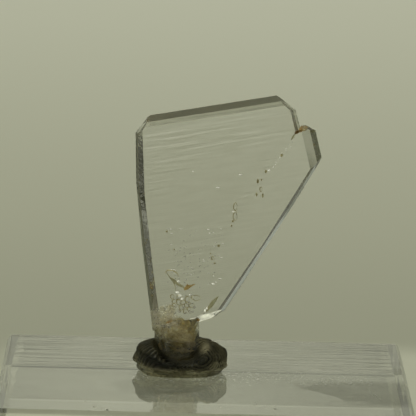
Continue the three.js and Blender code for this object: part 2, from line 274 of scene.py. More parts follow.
class Graph:
    """The node tree of one material or world."""

    def __init__(self, owner):
        owner.use_nodes = True
        self.tree = owner.node_tree

    def add(self, kind, values=None, **settings):
        """A new node. Values are by input name or number, and a socket is joined instead."""
        node = self.tree.nodes.new(kind)
        for key, value in settings.items():
            setattr(node, key, value)
        self.fill(node, values or {})
        return node

    def fill(self, node, values):
        for name, value in values.items():
            if isinstance(value, bpy.types.NodeSocket):
                self.tree.links.new(value, node.inputs[name])
            else:
                node.inputs[name].default_value = value

    def place(self):
        """Where a point is, in the part's frame."""
        return self.add("ShaderNodeTexCoord").outputs["Object"]

    def part(self, vector, letter):
        return self.add("ShaderNodeSeparateXYZ", {0: vector}).outputs[letter]

    def noise(self, place, scale, detail=3.0, roughness=0.5, swirl=0.0):
        """Smooth noise from 0 to 1; scale is waves per metre."""
        values = {"Vector": place, "Scale": scale, "Detail": detail, "Roughness": roughness,
                  "Distortion": swirl}
        return self.add("ShaderNodeTexNoise", values).outputs["Fac"]

    def ramp(self, value, low, high, out_low=0.0, out_high=1.0):
        """Eases from out_low to out_high as the value goes from low to high."""
        values = {"Value": value, "From Min": low, "From Max": high, "To Min": out_low, "To Max": out_high}
        return self.add("ShaderNodeMapRange", values, interpolation_type="SMOOTHSTEP").outputs["Result"]

    def blend(self, share, first, second):
        """The first colour where the share is 0 and the second where it is 1."""
        node = self.add("ShaderNodeMix", data_type="RGBA")
        self.fill(node, {0: share, 6: rgba(first), 7: rgba(second)})
        return node.outputs[2]

    def maths(self, operation, *values):
        node = self.add("ShaderNodeMath", operation=operation)
        self.fill(node, dict(enumerate(values)))
        return node.outputs[0]

    def times(self, first, second):
        return self.maths("MULTIPLY", first, second)

    def vector_maths(self, operation, *values):
        return self.add("ShaderNodeVectorMath", dict(enumerate(values)), operation=operation).outputs

    def scale(self, vector, factors):
        """A place or colour, with each of its parts times a factor of its own."""
        return self.vector_maths("MULTIPLY", vector, factors)["Vector"]

    def reach(self, place, middle, size):
        """Distance from a middle, counted in half sizes of an ellipsoid."""
        offset = self.vector_maths("SUBTRACT", place, middle)["Vector"]
        share = self.vector_maths("DIVIDE", offset, size)["Vector"]
        return self.vector_maths("LENGTH", share)["Value"]


def new_material(name):
    material = bpy.data.materials.new(name)
    graph = Graph(material)
    return material, graph, graph.tree.nodes["Principled BSDF"]


def absorb(graph, color, density):
    volume = graph.add("ShaderNodeVolumeAbsorption", {"Color": rgba(color), "Density": density})
    graph.fill(graph.tree.nodes["Material Output"], {"Volume": volume.outputs[0]})


def streak_shade(graph, place):
    """From 0 to 1 in fine lines of painted shade that run across c and fade in and out."""
    across = graph.vector_maths("DOT_PRODUCT", place, ACROSS)["Value"]
    along = graph.vector_maths("DOT_PRODUCT", place, C_AXIS)["Value"]
    spot = graph.add("ShaderNodeCombineXYZ", {"X": graph.times(across, 0.05), "Z": along})
    return graph.ramp(graph.noise(spot.outputs[0], 7000, 4, 0.6), 0.35, 0.6)


def root_color(graph, place, wisps):
    """The root's broken skin, patchy with stain and darkest at its foot."""
    flow = graph.scale(place, (1, 1, 1.7))
    stain = graph.ramp(graph.noise(flow, 520, 6, 0.6, 1.6), 0.4, 0.62)
    height = graph.maths("ADD", graph.part(place, "Z"), graph.times(wisps, MM))
    upper = graph.ramp(height, BLOCK_TOP + 0.9 * MM, BLOCK_TOP + 2.3 * MM)
    return graph.blend(upper, ROOT_FOOT_COLOR, graph.blend(stain, *ROOT_COLORS))


def glass_color(graph, place, narrow, etched):
    """The clear crystal, with painted shade in fine streaks on its broad faces and on its narrow faces at
    the right, which are darker.
    """
    # painted shade in fine streaks on the broad faces
    glass = graph.blend(streak_shade(graph, place), *STREAK_SHADE_COLORS)
    glass = graph.blend(etched, glass, ETCHED_COLOR)
    # painted shade on the narrow faces in this zone
    edge_shade = graph.ramp(graph.reach(place, *EDGE_SHADE_ZONE), 1.25, 0.6)
    return graph.blend(graph.times(narrow, edge_shade), glass, EDGE_SHADE_COLOR)


def etched_places(graph, place, narrow, clear):
    """1 on the etched narrow faces, and 0 on the rest and on the root."""
    off_left = graph.ramp(graph.reach(place, *CLEAR_LEFT), 0.9, 1.0)
    off_tip = graph.ramp(graph.reach(place, *CLEAR_TIP), 0.9, 1.1)
    etched = graph.times(narrow, graph.times(off_left, off_tip))
    return graph.times(etched, clear)


def quartz_material():
    """Clear, with lightly etched narrow faces and a root that is stained on its broken skin."""
    material, graph, shader = new_material("quartz")
    coordinates = graph.add("ShaderNodeTexCoord").outputs
    place = coordinates["Object"]
    facing = graph.part(coordinates["Normal"], "Y")
    wisps = graph.maths("SUBTRACT", graph.noise(place, 1500, 5, 0.65), 0.5)
    wisps = graph.times(wisps, 0.9)
    clear = graph.ramp(graph.maths("ADD", graph.reach(place, *ROOT_ZONE), wisps), 0.75, 1.15)
    narrow = graph.ramp(graph.maths("ABSOLUTE", facing), 0.97, 0.9)
    etched = etched_places(graph, place, narrow, clear)
    frost = graph.ramp(facing, -0.1, 0.1, FRONT_ROUGHNESS, BACK_ROUGHNESS)
    glass = glass_color(graph, place, narrow, etched)
    graph.fill(shader, {
        "Base Color": graph.blend(clear, root_color(graph, place, wisps), glass),
        "Transmission Weight": graph.ramp(clear, 0, 1, 0.8, 1),
        "Roughness": graph.maths("MAXIMUM", graph.times(etched, frost), graph.ramp(clear, 0, 1, 0.1, 0.0)),
        "IOR": QUARTZ_IOR,
    })
    absorb(graph, *QUARTZ_TINT)
    return material


def void_material():
    """The wall of a gas-filled void, seen from the quartz around it."""
    material, graph, shader = new_material("void")
    graph.fill(shader, {
        "Base Color": (1, 1, 1, 1),
        "Transmission Weight": 1.0,
        "Roughness": graph.ramp(graph.noise(graph.place(), 4000), 0.4, 0.6, 0.0, 0.08),
        "IOR": VOID_IOR,
    })
    return material


def grain_material(name, colors, transmission, roughness=0.35, ior=1.1):
    """A small solid grain or film, mottled between two colours."""
    material, graph, shader = new_material(name)
    mottle = graph.ramp(graph.noise(graph.place(), 5000, 3), 0.4, 0.6)
    graph.fill(shader, {
        "Base Color": graph.blend(mottle, *colors),
        "Transmission Weight": transmission,
        "Roughness": roughness,
        "IOR": ior,
    })
    return material


def acrylic_material():
    """Clear, with smears that blur it a little."""
    material, graph, shader = new_material("acrylic")
    graph.fill(shader, {
        "Base Color": (1, 1, 1, 1),
        "Transmission Weight": 1.0,
        "Roughness": graph.ramp(graph.noise(graph.place(), 300, 4), 0.4, 0.7, 0.0, 0.05),
        "IOR": ACRYLIC_IOR,
    })
    absorb(graph, *ACRYLIC_TINT)
    return material


def putty_skin_color(graph, place):
    """Dark olive, with painted shade that is blackest halfway up the front, and painted light that makes the
    lip and the right shoulder paler.
    """
    patches = graph.ramp(graph.noise(place, 700, 4), 0.35, 0.65)
    # painted light on the right shoulder
    shoulder = graph.ramp(graph.reach(place, *SHOULDER_LIGHT_ZONE), 0.6, 1.3)
    skin = graph.blend(shoulder, graph.blend(patches, *SHOULDER_LIGHT_COLORS), graph.blend(patches, *PUTTY_COLORS))
    waver = graph.times(graph.noise(place, 500, 3), 0.8 * MM)
    height = graph.maths("SUBTRACT", graph.part(place, "Z"), waver)
    above_lip = graph.ramp(height, BLOCK_TOP - 0.2 * MM, BLOCK_TOP + 1.2 * MM)
    # painted light on the lip, in lit and shaded streaks like folds
    lit_folds = graph.ramp(graph.noise(graph.scale(place, (1, 1, 3)), 900, 3), 0.4, 0.6)
    skin = graph.blend(above_lip, graph.blend(lit_folds, *LIP_LIGHT_COLORS), skin)
    # painted shade in a dark belt across the front, halfway up
    off_belt_shade = graph.ramp(graph.reach(place, *BELT_SHADE_ZONE), 0.5, 1.3)
    return graph.blend(off_belt_shade, BELT_SHADE_COLOR, skin)


def putty_material():
    """The skin's colour, with painted shade in its hollows and painted highlights on its crests."""
    material, graph, shader = new_material("putty")
    skin = putty_skin_color(graph, graph.place())
    # painted shade in the hollows and painted highlights on the crests
    crests = graph.ramp(graph.add("ShaderNodeNewGeometry").outputs["Pointiness"], 0.45, 0.55)
    shaded_hollows = graph.scale(skin, [HOLLOW_SHADE_SHARE] * 3)
    lit_crests = graph.scale(skin, [CREST_HIGHLIGHT_SHARE] * 3)
    graph.fill(shader, {
        "Base Color": graph.blend(crests, shaded_hollows, lit_crests),
        "Roughness": PUTTY_ROUGHNESS,
    })
    return material


def foot_shadow(graph, place):
    """From 0 to 1 on a thin line of painted shadow under the block's lower back edge, strongest at the left.
    """
    x = graph.part(place, "X")
    away = graph.maths("ABSOLUTE", graph.maths("SUBTRACT", graph.part(place, "Y"), FOOT_SHADOW_Y))
    across = graph.ramp(graph.maths("ABSOLUTE", x), BLOCK_HALF, BLOCK_HALF - 0.5 * MM)
    line = graph.times(graph.ramp(away, 0.5 * MM, 0.15 * MM), across)
    return graph.times(line, graph.ramp(x, 0, -8 * MM, 0.7, 1))


def floor_material():
    """Pale, with painted shadow along the line where the block's lower edge meets it and in a soft band
    under the block.
    """
    material, graph, shader = new_material("floor")
    place = graph.place()
    y = graph.part(place, "Y")
    red, green, blue = [FLOOR_LEVEL * channel for channel in PALE]
    paper = graph.blend(graph.ramp(y, 0.05, 0.6), (red, green, 0.965 * blue), (red, green, 1.01 * blue))
    paper = graph.blend(graph.ramp(y, 0.19, 0.1, 0, NEAR_SHADE), paper, (0, 0, 0))
    # painted shadow in a band under the back of the block
    paper = graph.blend(graph.ramp(graph.reach(place, *BAND_SHADE), 1.2, 0.5, 0, 0.2), paper, BAND_SHADE_COLOR)
    line = tuple(FOOT_SHADOW_LEVEL * channel for channel in (red, green, blue))
    graph.fill(shader, {"Base Color": graph.blend(foot_shadow(graph, place), paper, line), "Roughness": 0.9})
    return material


# ---- meshes

def new_object(name, data):
    made = bpy.data.objects.new(name, data)
    bpy.context.scene.collection.objects.link(made)
    return made


def make_object(name, bm, material):
    mesh = bpy.data.meshes.new(name)
    bm.to_mesh(mesh)
    bm.free()
    mesh.materials.append(material)
    return new_object(name, mesh)


def make_piece(name, bm, material, node=None, slot="quartz"):
    """A visual piece that stays with the part, in place of a CAD node where one is named."""
    made = make_object(name, bm, material)
    made.visible_shadow = slot == "putty"  # clear things let the light through to the floor
    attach(made, "root")
    if node:
        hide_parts(node)


def make_grains(name, bm, *look):
    make_piece(name, bm, grain_material(name, *look))


def mesh_of_node(node):
    """An editable copy of a solid's mesh."""
    bm = bmesh.new()
    bm.from_mesh(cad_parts[node].data)
    bmesh.ops.remove_doubles(bm, verts=bm.verts, dist=WELD)
    bm.normal_update()
    return bm


def vertices_of(faces):
    return list({vertex for face in faces for vertex in face.verts})


def cut_into_strips(bm, faces, direction, spacing):
    """Cuts flat faces square to a direction at even spacing, and returns all that they become."""
    levels = [vertex.co.dot(direction) for vertex in vertices_of(faces)]
    level = min(levels) + spacing
    done = []
    while level < max(levels) and faces:
        edges = {edge for face in faces for edge in face.edges}
        parts = [*vertices_of(faces), *edges, *faces]
        cut = bmesh.ops.bisect_plane(bm, geom=parts, dist=WELD, plane_co=direction * level,
                                     plane_no=direction)
        faces = []
        for part in cut["geom"]:
            if isinstance(part, bmesh.types.BMFace):
                beyond = any(vertex.co.dot(direction) > level + 10 * WELD for vertex in part.verts)
                (faces if beyond else done).append(part)
        level += spacing
    return done + faces


# ---- the twin

def off_seam(point):
    """How far a point lies from the seam, on the large individual's side."""
    return (point - NOTCH).dot(SEAM_SIDE)


def broad_plane(bm, side):
    """A point and the normal of the large individual's front (-1) or back (1) face."""
    broad = [face for face in bm.faces
             if side * face.normal.y > 0.999 and off_seam(face.calc_center_median()) > MM]
    largest = max(broad, key=lambda face: face.calc_area())
    return largest.verts[0].co.copy(), largest.normal.copy()


def smooth_out_steps(bm, side):
    """Brings the model's coarse growth steps up to the broad face, to make way for finer lines."""
    point, normal = broad_plane(bm, side)
    for vertex in bm.verts:
        below = (point - vertex.co).dot(normal)
        if WELD < below < COARSE_STEP and off_seam(vertex.co) > SEAM_CLEARANCE:
            vertex.co.y += below / normal.y


def border_distance(spots, corners):
    """How far inside a polygon each spot lies."""
    nearest = np.full(len(spots), np.inf)
    for start, end in zip(corners, np.roll(corners, -1, axis=0)):
        run = end - start
        share = np.clip((spots - start) @ run / max(run @ run, 1e-12), 0, 1)
        nearest = np.minimum(nearest, np.linalg.norm(spots - start - share[:, None] * run, axis=1))
    return nearest


def from_chisel(point):
    """Place across c from the middle of the chisel and down along c, in millimetres."""
    offset = (point - CHISEL) / MM
    return offset.dot(ACROSS), -offset.dot(C_AXIS)


def growth_lines(spots, rng):
    """Height in millimetres of fine lines that run across c, at spots given across and down."""
    height = np.zeros(len(spots))
    low, high = spots.min(axis=0), spots.max(axis=0)
    for _ in range(LINE_COUNT):
        middle = rng.uniform(low, high)
        width = rng.uniform(*LINE_WIDTH)
        half_length = rng.uniform(*LINE_HALF_LENGTH)
        tall = LINE_SLOPE * width * rng.uniform(-1, 1)
        across = (spots[:, 0] - middle[0]) / half_length
        bow = LINE_BOW * rng.normal() * across ** 2
        down = (spots[:, 1] - middle[1] - bow) / width
        height += tall * np.exp(-down ** 2) * np.clip(1 - across ** 2, 0, 1)
    return height


def step_line(spots, middle, half_length, width, depth):
    """A growth step: a sharp upper edge and a long slope below it, tapered to its ends."""
    across = (spots[:, 0] - middle[0]) / half_length
    down = (spots[:, 1] - middle[1]) / width
    slope = np.where(down < 0, np.exp(-(down * STEP_SHARPNESS) ** 2), np.clip(1 - down, 0, 1))
    return -depth * slope * np.clip(1 - across ** 2, 0, 1)


def add_growth_lines(bm, side, seed):
    """Cuts the large individual's broad face into a fine grid and raises growth lines on it."""
    _, normal = broad_plane(bm, side)
    faces = [face for face in bm.faces if face.normal.dot(normal) > 0.999999]
    face = max(faces, key=lambda face: face.calc_area())
    corners = np.array([from_chisel(vertex.co) for vertex in face.verts])
    strips = cut_into_strips(bm, [face], C_AXIS, ROW)
    grid = cut_into_strips(bm, strips, ACROSS, COLUMN)
    vertices = vertices_of(grid)
    spots = np.array([from_chisel(vertex.co) for vertex in vertices])
    height = growth_lines(spots, np.random.default_rng(seed))
    if side < 0:
        for step in FRONT_STEPS:
            height += step_line(spots, *step)
    height *= np.clip(border_distance(spots, corners) / BORDER_FADE, 0, 1)
    for vertex, rise in zip(vertices, height):
        vertex.co.y += side * rise * MM


def all_on_ball(vertices, middle, radius, tolerance):
    return all(abs((vertex.co - middle).length - radius) < tolerance for vertex in vertices)


def ripple_scallops(bm):
    """Rounds the bites out of the base and gives them faint shell-like waves."""
    for middle, radius in SCALLOPS:
        faces = [face for face in bm.faces if all_on_ball(face.verts, middle, radius, 0.02 * MM)]
        cut = bmesh.ops.triangulate(bm, faces=faces)
        edges = {edge for face in cut["faces"] for edge in face.edges}
        bmesh.ops.subdivide_edges(bm, edges=list(edges), cuts=3, use_grid_fill=True)
        for vertex in bm.verts:
            near = [other for edge in vertex.link_edges for other in edge.verts]
            on_ball = all_on_ball([vertex], middle, radius, 0.03 * MM)
            if on_ball and all_on_ball(near, middle, radius, 0.05 * MM):
                offset = vertex.co - middle
                wave = SHELL_WAVE * sin(offset.x / SHELL_PITCH[0] + offset.z / SHELL_PITCH[1])
                vertex.co = middle + offset.normalized() * (radius + wave)
        for face in bm.faces:
            if all_on_ball(face.verts, middle, radius, 0.05 * MM):
                face.smooth = True


def roughen_root(bm):
    """Breaks up the walls of the root."""
    low, high = ROOT_BOX
    faces = [face for face in bm.faces
             if all(low[axis] < vertex.co[axis] < high[axis] for vertex in face.verts for axis in range(3))]
    for direction in (UP, RIGHT, BACK):
        faces = cut_into_strips(bm, faces, direction, ROOT_CUT)
    inside = set(faces)
    bm.normal_update()
    moves = {}
    for vertex in vertices_of(faces):
        if all(face in inside for face in vertex.link_faces):
            lumps = noise.fractal(vertex.co / ROOT_LUMP, 1.0, 2.0, 4)
            moves[vertex] = vertex.normal * lumps * ROOT_RELIEF * MM
    for vertex, move in moves.items():
        vertex.co += move
    for face in faces:
        face.smooth = True


def add_quartz():
    """The twin and its root, in place of the solid, with finer relief on both."""
    bm = mesh_of_node("quartz_twin")
    for side in (-1, 1):
        smooth_out_steps(bm, side)
    bmesh.ops.dissolve_degenerate(bm, edges=bm.edges, dist=WELD)
    bmesh.ops.dissolve_limit(bm, angle_limit=radians(0.2), verts=bm.verts, edges=bm.edges)
    for side, seed in ((-1, 4), (1, 9)):
        bm.normal_update()
        add_growth_lines(bm, side, seed)
    ripple_scallops(bm)
    bm.normal_update()
    roughen_root(bm)
    make_piece("quartz", bm, quartz_material(), node="quartz_twin")


# ---- grains, threads and plates

def add_blob(bm, middle, size, seed, turn=0.0, pitch=0.0, detail=3):
    """A small lumpy grain. Size holds its half sizes in millimetres: across, back and up."""
    made = bmesh.ops.create_icosphere(bm, subdivisions=detail, radius=1.0)["verts"]
    tilt = Matrix.Rotation(turn, 3, "Y") @ Matrix.Rotation(pitch, 3, "X")
    for vertex in made:
        lump = 1 + 0.35 * noise.noise(vertex.co * 1.7 + Vector((seed, 2.3 * seed, 0)))
        shape = Vector(vertex.co[axis] * size[axis] * lump for axis in range(3))
        vertex.co = middle + tilt @ shape * MM


def tube_ring(bm, middle, ahead, radius):
    """Corners of a thread's cross-section, square to the way ahead."""
    side = ahead.cross(BACK).normalized()
    up = side.cross(ahead)
    angles = [2 * pi * step / TUBE_SIDES for step in range(TUBE_SIDES)]
    return [bm.verts.new(middle + radius * (cos(angle) * side + sin(angle) * up))
            for angle in angles]


def add_tube(bm, points, width):
    """A closed, tapered thread through points; width is its greatest radius in millimetres."""
    rings = []
    for index, point in enumerate(points):
        before = points[max(index - 1, 0)]
        after = points[min(index + 1, len(points) - 1)]
        share = index / (len(points) - 1)
        radius = width * MM * (TUBE_END + (1 - TUBE_END) * sin(pi * share))
        rings.append(tube_ring(bm, point, (after - before).normalized(), radius))
    for first, second in zip(rings, rings[1:]):
        for step in range(TUBE_SIDES):
            after = (step + 1) % TUBE_SIDES
            bm.faces.new((first[step], second[step], second[after], first[after]))
    bm.faces.new(rings[0])
    bm.faces.new(reversed(rings[-1]))


def add_ring(bm, middle, half_width, half_height, seed):
    """A closed, wavering thread."""
    points = []
    for step in range(RING_STEPS + 1):
        angle = 2 * pi * step / RING_STEPS
        waver = 1 + 0.35 * noise.noise(Vector((cos(angle), sin(angle), 2.7 * seed)))
        back = 0.1 * sin(angle + seed)
        offset = Vector((half_width * cos(angle), back, half_height * sin(angle)))
        points.append(middle + waver * offset * MM)
    add_tube(bm, points, RING_WIDTH)


def add_plate(bm, corners, thickness):
    """A thin flat plate, whose corners run clockwise as seen from the front."""
    offset = BACK * (thickness * MM / 2)
    front = [bm.verts.new(point - offset) for point in corners]
    back = [bm.verts.new(point + offset) for point in corners]
    bm.faces.new(reversed(front))
    bm.faces.new(back)
    for index in range(len(corners)):
        after = (index + 1) % len(corners)
        bm.faces.new((front[index], front[after], back[after], back[index]))
    bmesh.ops.recalc_face_normals(bm, faces=bm.faces)


def cloud(rng, count, middle, spread):
    """Numbered random places in an ellipsoid, most of them near its middle."""
    for index in range(count):
        offset = rng.normal(size=3)
        offset *= rng.uniform() ** 0.5 / np.linalg.norm(offset)
        x, back, z = np.array(middle) + offset * spread
        yield index, at(x, z, back)


# ---- what the quartz encloses, all in millimetres
TUBE_SIDES = 6
TUBE_END = 0.25  # radius at a thread's ends against its middle
RING_STEPS = 16
RING_WIDTH = 0.032
GLINT_PITCH = radians(6.6)  # gas-filled flakes at this tilt mirror the bright sky behind
GLINT_SQUASH = 0.21  # how low they look against their true height
NOTCH_STAINS = [  # name, place, half sizes, seed, turn, colours, how clear
    ("iron_stain", (6.7, 19.08, 0.15), (0.2, 0.4, 0.13), 1, radians(-32), IRON, 0.7),
    ("rust_stain", (6.92, 19.22, 0.15), (0.24, 0.38, 0.14), 2, radians(-16), RUST, 0.8),
    ("ochre_stain", (7.2, 19.3, 0.15), (0.26, 0.34, 0.1), 4, radians(-8), OCHRE, 0.85),
    ("seam_stain", (6.42, 18.72, 0.05), (0.07, 0.3, 0.26), 3, radians(32), OLIVE, 0.8),
]
BROWN_SPECKS = [  # x, z, half width, half height
    (5.57, 17.24, 0.09, 0.14), (4.37, 15.93, 0.08, 0.13), (3.77, 15.15, 0.08, 0.17),
    (4.04, 15.26, 0.06, 0.07), (3.7, 14.1, 0.07, 0.16), (4.19, 14.04, 0.07, 0.16),
    (1.92, 11.95, 0.1, 0.07), (1.82, 11.6, 0.06, 0.08), (0.86, 9.98, 0.1, 0.09),
    (0.59, 8.6, 0.08, 0.06), (-3.21, 11.0, 0.07, 0.08), (0.25, 9.35, 0.05, 0.06), (-2.6, 9.6, 0.06, 0.07),
]
PALE_SPECKS = [
    (4.62, 16.03, 0.11, 0.08), (2.4, 15.62, 0.13, 0.05), (0.69, 14.56, 0.16, 0.04),
    (-1.29, 15.79, 0.06, 0.04), (1.04, 7.4, 0.14, 0.03), (0.52, 6.96, 0.13, 0.06),
    (-2.19, 7.1, 0.12, 0.05), (-2.26, 6.22, 0.13, 0.08), (-2.08, 5.98, 0.15, 0.1),
    (-1.88, 5.72, 0.1, 0.08), (-0.06, 4.84, 0.08, 0.12), (0.1, 5.02, 0.07, 0.09), (1.95, 12.7, 0.1, 0.05),
    (-2.65, 7.99, 0.22, 0.03), (-1.25, 6.05, 0.08, 0.05),
]
LOW_FLAKES = 30  # scattered between these two corners, x and z
LOW_FLAKE_CORNERS = ((-3.2, 6.6), (1.6, 11.5))
SEAM_FLAKES = ((6.3, 18.3), (4.9, 16.3), 12)  # x and z of the ends of their line, and count
FLECKS = (70, (-1.3, 0.15, 8.6), (2.3, 0.1, 2.6))  # count, middle and spread: x, back, z
LOOPS = [  # x, z, half width and half height of closed rings
    (4.04, 14.51, 0.1, 0.17), (2.08, 13.1, 0.13, 0.3), (2.1, 12.35, 0.16, 0.3),
    (0.43, 9.0, 0.12, 0.12), (-2.65, 5.86, 0.16, 0.19), (-2.49, 5.49, 0.2, 0.15),
    (-2.15, 5.42, 0.19, 0.22), (-1.78, 5.43, 0.22, 0.17), (-1.46, 5.67, 0.18, 0.25),
    (-1.52, 5.21, 0.21, 0.16), (-1.92, 4.98, 0.17, 0.2), (-2.7, 5.03, 0.16, 0.12),
    (-0.83, 5.83, 0.36, 0.2), (-1.11, 5.22, 0.2, 0.16), (-1.62, 4.76, 0.15, 0.17),
    (-1.32, 4.92, 0.16, 0.13), (-2.16, 5.8, 0.13, 0.21), (-2.48, 5.19, 0.15, 0.12),
]
CRACKS = 46
CRACK_CORNERS = ((-2.9, 4.5), (-0.9, 6.0))  # of the patch, before it is sheared about an x
CRACK_SHEAR = 0.25
CRACK_SHEAR_X = -1.7
LEFT_LEAF = [at(-2.84, 7.42, 0.2), at(-2.48, 7.22, 0.25), at(-2.19, 6.93, 0.25), at(-1.86, 6.78, 0.25),
             at(-1.65, 6.55, 0.2), at(-1.96, 6.62, 0.2), at(-2.3, 6.76, 0.2), at(-2.6, 7.0, 0.2)]
RIGHT_LEAF = outline(0.2, (0.98, 5.99), (0.8, 5.62), (0.5, 5.15), (0.12, 4.75), (-0.02, 4.76), (0.18, 5.2),
                     (0.46, 5.62), (0.86, 5.95))
LEAF_STALK = outline(0.15, (-3.22, 7.88), (-2.91, 7.42), (-2.53, 6.92), (-2.37, 6.35))
GOLD_RIM = outline(0.1, (-3.26, 7.7), (-3.09, 7.95), (-2.67, 7.96), (-2.33, 7.75), (-2.2, 7.52))
OCHRE_PLATE = outline(0.1, (-1.8, 6.5), (-1.49, 6.92), (-1.38, 6.8), (-0.84, 6.93), (-1.22, 6.66),
                      (-1.48, 6.46), (-1.7, 6.38))
ROOT_VEILS = [  # name, count, middle and spread, half lengths, two colours
    ("root_crown", (20, (-1.5, -0.2, 3.7), (0.8, 0.3, 0.35)), (0.15, 0.4),
     ((0.92, 0.88, 0.66), (0.74, 0.66, 0.4))),
    ("root_gold", (50, (-2.1, 0.0, 3.0), (1.3, 0.75, 1.2)), (0.25, 0.7),
     ((0.86, 0.81, 0.56), (0.6, 0.52, 0.29))),
    ("root_rust", (34, (-2.0, 0.0, 2.0), (1.4, 0.8, 0.8)), (0.25, 0.6),
     ((0.52, 0.42, 0.19), (0.28, 0.21, 0.08))),
]
VEIL_CENTRE = (-2.0, 3.6)  # x and z that the veils sweep round
MILK_GRAINS = (190, (-3.05, 0.1, 4.05), (1.15, 0.65, 1.15))


def add_notch_stains():
    """Rust in the corner between the two individuals and along the small one's shoulder."""
    for name, place, size, seed, turn, colors, clearness in NOTCH_STAINS:
        bm = bmesh.new()
        add_blob(bm, at(*place), size, seed, turn)
        make_grains(name, bm, colors, clearness)


def add_brown_specks():
    bm = bmesh.new()
    for index, (x, z, half_width, half_height) in enumerate(BROWN_SPECKS):
        add_blob(bm, at(x, z, 0.15), (half_width, 0.05, half_height), index + 10)
    make_grains("brown_specks", bm, BRONZE, 0.7)


def small_flakes():
    """Place and half sizes of fine flakes low in the tablet and along the seam below the notch."""
    rng = np.random.default_rng(12)
    flakes = []
    for _ in range(LOW_FLAKES):
        x, z = rng.uniform(*LOW_FLAKE_CORNERS)
        flakes.append((x, z, rng.uniform(0.04, 0.12), rng.uniform(0.012, 0.03)))
    for x, z in np.linspace(*SEAM_FLAKES):
        stray = rng.normal(scale=0.07)
        flakes.append((x + stray, z, rng.uniform(0.03, 0.06), rng.uniform(0.02, 0.05)))
    return flakes


def add_pale_specks():
    """Gas-filled flakes that all glint one way, and fine flecks low down that lie at random."""
    rng = np.random.default_rng(14)
    bm = bmesh.new()
    for index, (x, z, half_width, half_height) in enumerate(PALE_SPECKS + small_flakes()):
        size = (half_width, half_height / GLINT_SQUASH, 0.012)
        add_blob(bm, at(x, z, 0.15), size, index + 30, -0.3 * FIRST_LEAN, GLINT_PITCH)
    for index, place in cloud(rng, *FLECKS):
        size = (rng.uniform(0.03, 0.09), rng.uniform(0.02, 0.05), 0.015)
        turn = rng.uniform(-0.6, 0.6)
        add_blob(bm, place, size, index + 300, turn, rng.uniform(0.2, 1.2), detail=2)
    make_piece("pale_specks", bm, void_material())


def add_loops():
    bm = bmesh.new()
    for index, (x, z, half_width, half_height) in enumerate(LOOPS):
        add_ring(bm, at(x, z, 0.2), half_width, half_height, index)
    make_grains("loops", bm, BRONZE, 0.8)


def add_cracks():
    """A crackled patch of small gas-filled voids above the root."""
    rng = np.random.default_rng(21)
    bm = bmesh.new()
    for index in range(CRACKS):
        x, z = rng.uniform(*CRACK_CORNERS)
        z += CRACK_SHEAR * (x - CRACK_SHEAR_X)
        radius = rng.uniform(0.04, 0.11)
        place = at(x, z, rng.uniform(-0.1, 0.6))
        add_blob(bm, place, (radius, 0.4 * radius, 0.8 * radius), index + 50)
    make_piece("cracks", bm, void_material())


def add_leaves():
    """Two thin stained wedges above the root, one of them on a stalk, with a golden rim."""
    bm = bmesh.new()
    add_plate(bm, LEFT_LEAF, 0.03)
    add_plate(bm, RIGHT_LEAF, 0.05)
    add_tube(bm, LEAF_STALK, 0.045)
    make_grains("leaves", bm, OLIVE, 0.75)
    bm = bmesh.new()
    add_tube(bm, GOLD_RIM, 0.05)
    make_grains("gold_rim", bm, GOLD, 0.85)


def add_ochre_rims():
    """Ochre on the tip of the left wedge and on the crown of the root."""
    bm = bmesh.new()
    add_plate(bm, OCHRE_PLATE, 0.04)
    add_blob(bm, at(-0.59, 4.06), (0.13, 0.2, 0.12), 7)
    add_blob(bm, at(-2.85, 3.95, -0.5), (0.28, 0.12, 0.07), 8, radians(-25))
    make_grains("ochre_rims", bm, RUST, 0.88)


def add_root_veils():
    """Iron-stained veils that sweep through the root, and a milky cloud above its left side."""
    rng = np.random.default_rng(33)
    centre_x, centre_z = VEIL_CENTRE
    for name, where, half_lengths, colors in ROOT_VEILS:
        bm = bmesh.new()
        for index, place in cloud(rng, *where):
            sweep = atan2(place.z - at(0, centre_z).z, place.x - centre_x * MM) + pi / 2
            size = (rng.uniform(*half_lengths), rng.uniform(0.02, 0.06), rng.uniform(0.06, 0.18))
            turn = -sweep + 0.4 * rng.normal()
            add_blob(bm, place, size, index + 90, turn, rng.uniform(-0.6, 0.6))
        make_grains(name, bm, colors, 0.75, 0.3)
    bm = bmesh.new()
    for index, place in cloud(rng, *MILK_GRAINS):
        size = rng.uniform(0.06, 0.22, 3)
        add_blob(bm, place, size, index + 200, rng.uniform(0, pi), detail=2)
    make_grains("root_milk", bm, MILK, 0.86, 0.5, 1.01)


# ---- block

def add_block():
    """The acrylic block, with the faint waves that cutting left on its back."""
    bm = mesh_of_node("display_block")
    flat = [face for face in bm.faces if face.normal.y > 0.9999]
    border = {vertex for face in flat for vertex in face.verts}
    strips = cut_into_strips(bm, flat, UP, SAW_ROW)
    grid = cut_into_strips(bm, strips, RIGHT, SAW_COLUMN)
    inside = set(grid)
    for vertex in vertices_of(grid):
        if vertex not in border and all(face in inside for face in vertex.link_faces):
            spot = Vector((vertex.co.x / SAW_LENGTH, 0, vertex.co.z / SAW_PITCH))
            vertex.co.y -= SAW_DEPTH * abs(noise.fractal(spot, 0.7, 2.0, 4))
    make_piece("block", bm, acrylic_material(), node="display_block", slot="acrylic")


def on_block(x, y):
    """A place on top of the block, in millimetres."""
    return Vector((x * MM, y * MM, BLOCK_TOP))


